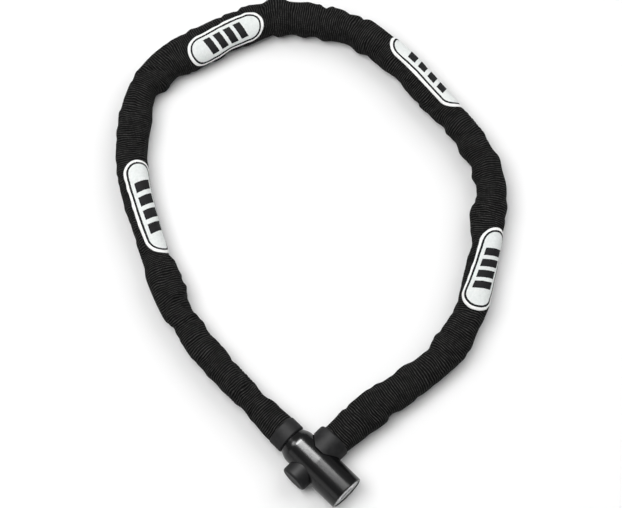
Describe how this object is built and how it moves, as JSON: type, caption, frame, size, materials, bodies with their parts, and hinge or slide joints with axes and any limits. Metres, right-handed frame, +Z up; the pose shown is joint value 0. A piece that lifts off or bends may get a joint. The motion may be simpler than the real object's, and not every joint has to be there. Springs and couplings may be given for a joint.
{
  "type": "bicycle chain lock",
  "caption": "Closed-loop bicycle chain lock: square-link chain in a black textile sleeve with woven labels, joined by a small cylinder lock with a push-in bolt.",
  "frame": {"origin": "middle of the underside of the whole lock's box, as it lies flat", "axes": "+Z up from the surface it lies on, +Y from the lock housing towards the loop's far end, +X to the right with the lock at the near end"},
  "size_m": [0.2358, 0.3194, 0.0222],
  "materials": {
    "housing_black": "high-gloss black moulded plastic",
    "core_metal": "nickel-plated zinc, fine turned face",
    "cap_plastic": "matt dark grey moulded plastic",
    "hard_steel": "hardened steel, ground",
    "collar_rubber": "matt black rubber",
    "ring_steel": "zinc-plated strip",
    "plug_metal": "nickel-plated brass, fine turned face",
    "wafer_brass": "stamped brass",
    "spring_steel": "bright spring steel",
    "chain_steel": "square-bar steel chain, satin plated",
    "sleeve_textile": "black ribbed woven sleeve, wrinkled",
    "label_woven": "off-white woven label with a black slanted-bar motif"
  },
  "bodies": {
    "lock": {"housing_cover": "housing_black", "lock_core": "core_metal", "blind_end_cap": "cap_plastic", "latch_cover": "core_metal", "drill_guard_pins": "hard_steel", "chain_anchor_pin": "hard_steel", "chain_collar": "collar_rubber", "chain_clamp_ring": "ring_steel", "sleeve_01": "sleeve_textile", "chain_links_01": "chain_steel"},
    "cylinder": {"cylinder_plug": "plug_metal", "wafers": "wafer_brass", "wafer_springs": "spring_steel", "plug_retaining_clip": "spring_steel", "lock_cam": "hard_steel", "cam_screw": "hard_steel"},
    "latch": {"latch": "hard_steel"},
    "chain_02": {"sleeve_02": "sleeve_textile", "chain_links_02": "chain_steel"},
    "chain_03": {"sleeve_03": "sleeve_textile", "chain_links_03": "chain_steel", "label_1": "label_woven"},
    "chain_04": {"sleeve_04": "sleeve_textile", "chain_links_04": "chain_steel"},
    "chain_05": {"sleeve_05": "sleeve_textile", "chain_links_05": "chain_steel", "label_2": "label_woven"},
    "chain_06": {"sleeve_06": "sleeve_textile", "chain_links_06": "chain_steel"},
    "chain_07": {"sleeve_07": "sleeve_textile", "chain_links_07": "chain_steel", "label_3": "label_woven"},
    "chain_08": {"sleeve_08": "sleeve_textile", "chain_links_08": "chain_steel"},
    "chain_09": {"sleeve_09": "sleeve_textile", "chain_links_09": "chain_steel", "label_4": "label_woven"},
    "chain_10": {"sleeve_10": "sleeve_textile", "chain_links_10": "chain_steel"},
    "bolt_end": {"locking_bolt": "hard_steel", "bolt_link_pin": "hard_steel", "bolt_collar": "collar_rubber", "bolt_clamp_ring": "ring_steel", "sleeve_11": "sleeve_textile", "chain_links_11": "chain_steel"}
  },
  "joints": [
    {"name": "cylinder_turn", "type": "hinge", "parent": "lock", "child": "cylinder", "pos_m": [0.00163, -0.13286, 0.0111], "axis": [0.7071, -0.7071, 0], "range_deg": [0, 90]},
    {"name": "latch_slide", "type": "slide", "parent": "lock", "child": "latch", "axis": [0, 0, -1], "range_m": [0, 0.00284]},
    {"name": "chain_open", "type": "hinge", "parent": "lock", "child": "chain_02", "pos_m": [-0.05924, -0.06935, 0.0111], "axis": [0, 0, -1], "range_deg": [0, 15.7]},
    {"name": "chain_bend_02", "type": "hinge", "parent": "chain_02", "child": "chain_03", "pos_m": [-0.09032, -0.01391, 0.0111], "axis": [0, 0, 1], "range_deg": [-5, 0]},
    {"name": "chain_bend_03", "type": "hinge", "parent": "chain_03", "child": "chain_04", "pos_m": [-0.10852, 0.06351, 0.0111], "axis": [0, 0, 1], "range_deg": [0, 16.5]},
    {"name": "chain_bend_04", "type": "hinge", "parent": "chain_04", "child": "chain_05", "pos_m": [-0.08448, 0.12028, 0.0111], "axis": [0, 0, 1], "range_deg": [0, 16.5]},
    {"name": "chain_bend_05", "type": "hinge", "parent": "chain_05", "child": "chain_06", "pos_m": [-0.02716, 0.14836, 0.0111], "axis": [0, 0, 1], "range_deg": [0, 7.37]},
    {"name": "chain_bend_06", "type": "hinge", "parent": "chain_06", "child": "chain_07", "pos_m": [0.03399, 0.13595, 0.0111], "axis": [0, 0, 1], "range_deg": [-5, 0]},
    {"name": "chain_bend_07", "type": "hinge", "parent": "chain_07", "child": "chain_08", "pos_m": [0.08939, 0.07894, 0.0111], "axis": [0, 0, 1], "range_deg": [-5, 0]},
    {"name": "chain_bend_08", "type": "hinge", "parent": "chain_08", "child": "chain_09", "pos_m": [0.10705, 0.02012, 0.0111], "axis": [0, 0, 1], "range_deg": [-8.3, 0]},
    {"name": "chain_bend_09", "type": "hinge", "parent": "chain_09", "child": "chain_10", "pos_m": [0.09325, -0.04233, 0.0111], "axis": [0, 0, 1], "range_deg": [-6.61, 0]},
    {"name": "chain_bend_10", "type": "hinge", "parent": "chain_10", "child": "bolt_end", "pos_m": [0.05234, -0.08937, 0.0111], "axis": [0, 0, 1], "range_deg": [0, 5.25]}
  ],
  "couplings": [
    {"joint": "latch_slide", "follows": "cylinder_turn", "m_per_rad": 0.0018006},
    {"joint": "chain_bend_02", "follows": "chain_open", "ratio": -0.31804},
    {"joint": "chain_bend_03", "follows": "chain_open", "ratio": 1.0505},
    {"joint": "chain_bend_04", "follows": "chain_open", "ratio": 1.0504},
    {"joint": "chain_bend_05", "follows": "chain_open", "ratio": 0.46889},
    {"joint": "chain_bend_06", "follows": "chain_open", "ratio": -0.31812},
    {"joint": "chain_bend_07", "follows": "chain_open", "ratio": -0.31829},
    {"joint": "chain_bend_08", "follows": "chain_open", "ratio": -0.52854},
    {"joint": "chain_bend_09", "follows": "chain_open", "ratio": -0.42063},
    {"joint": "chain_bend_10", "follows": "chain_open", "ratio": 0.33388}
  ]
}
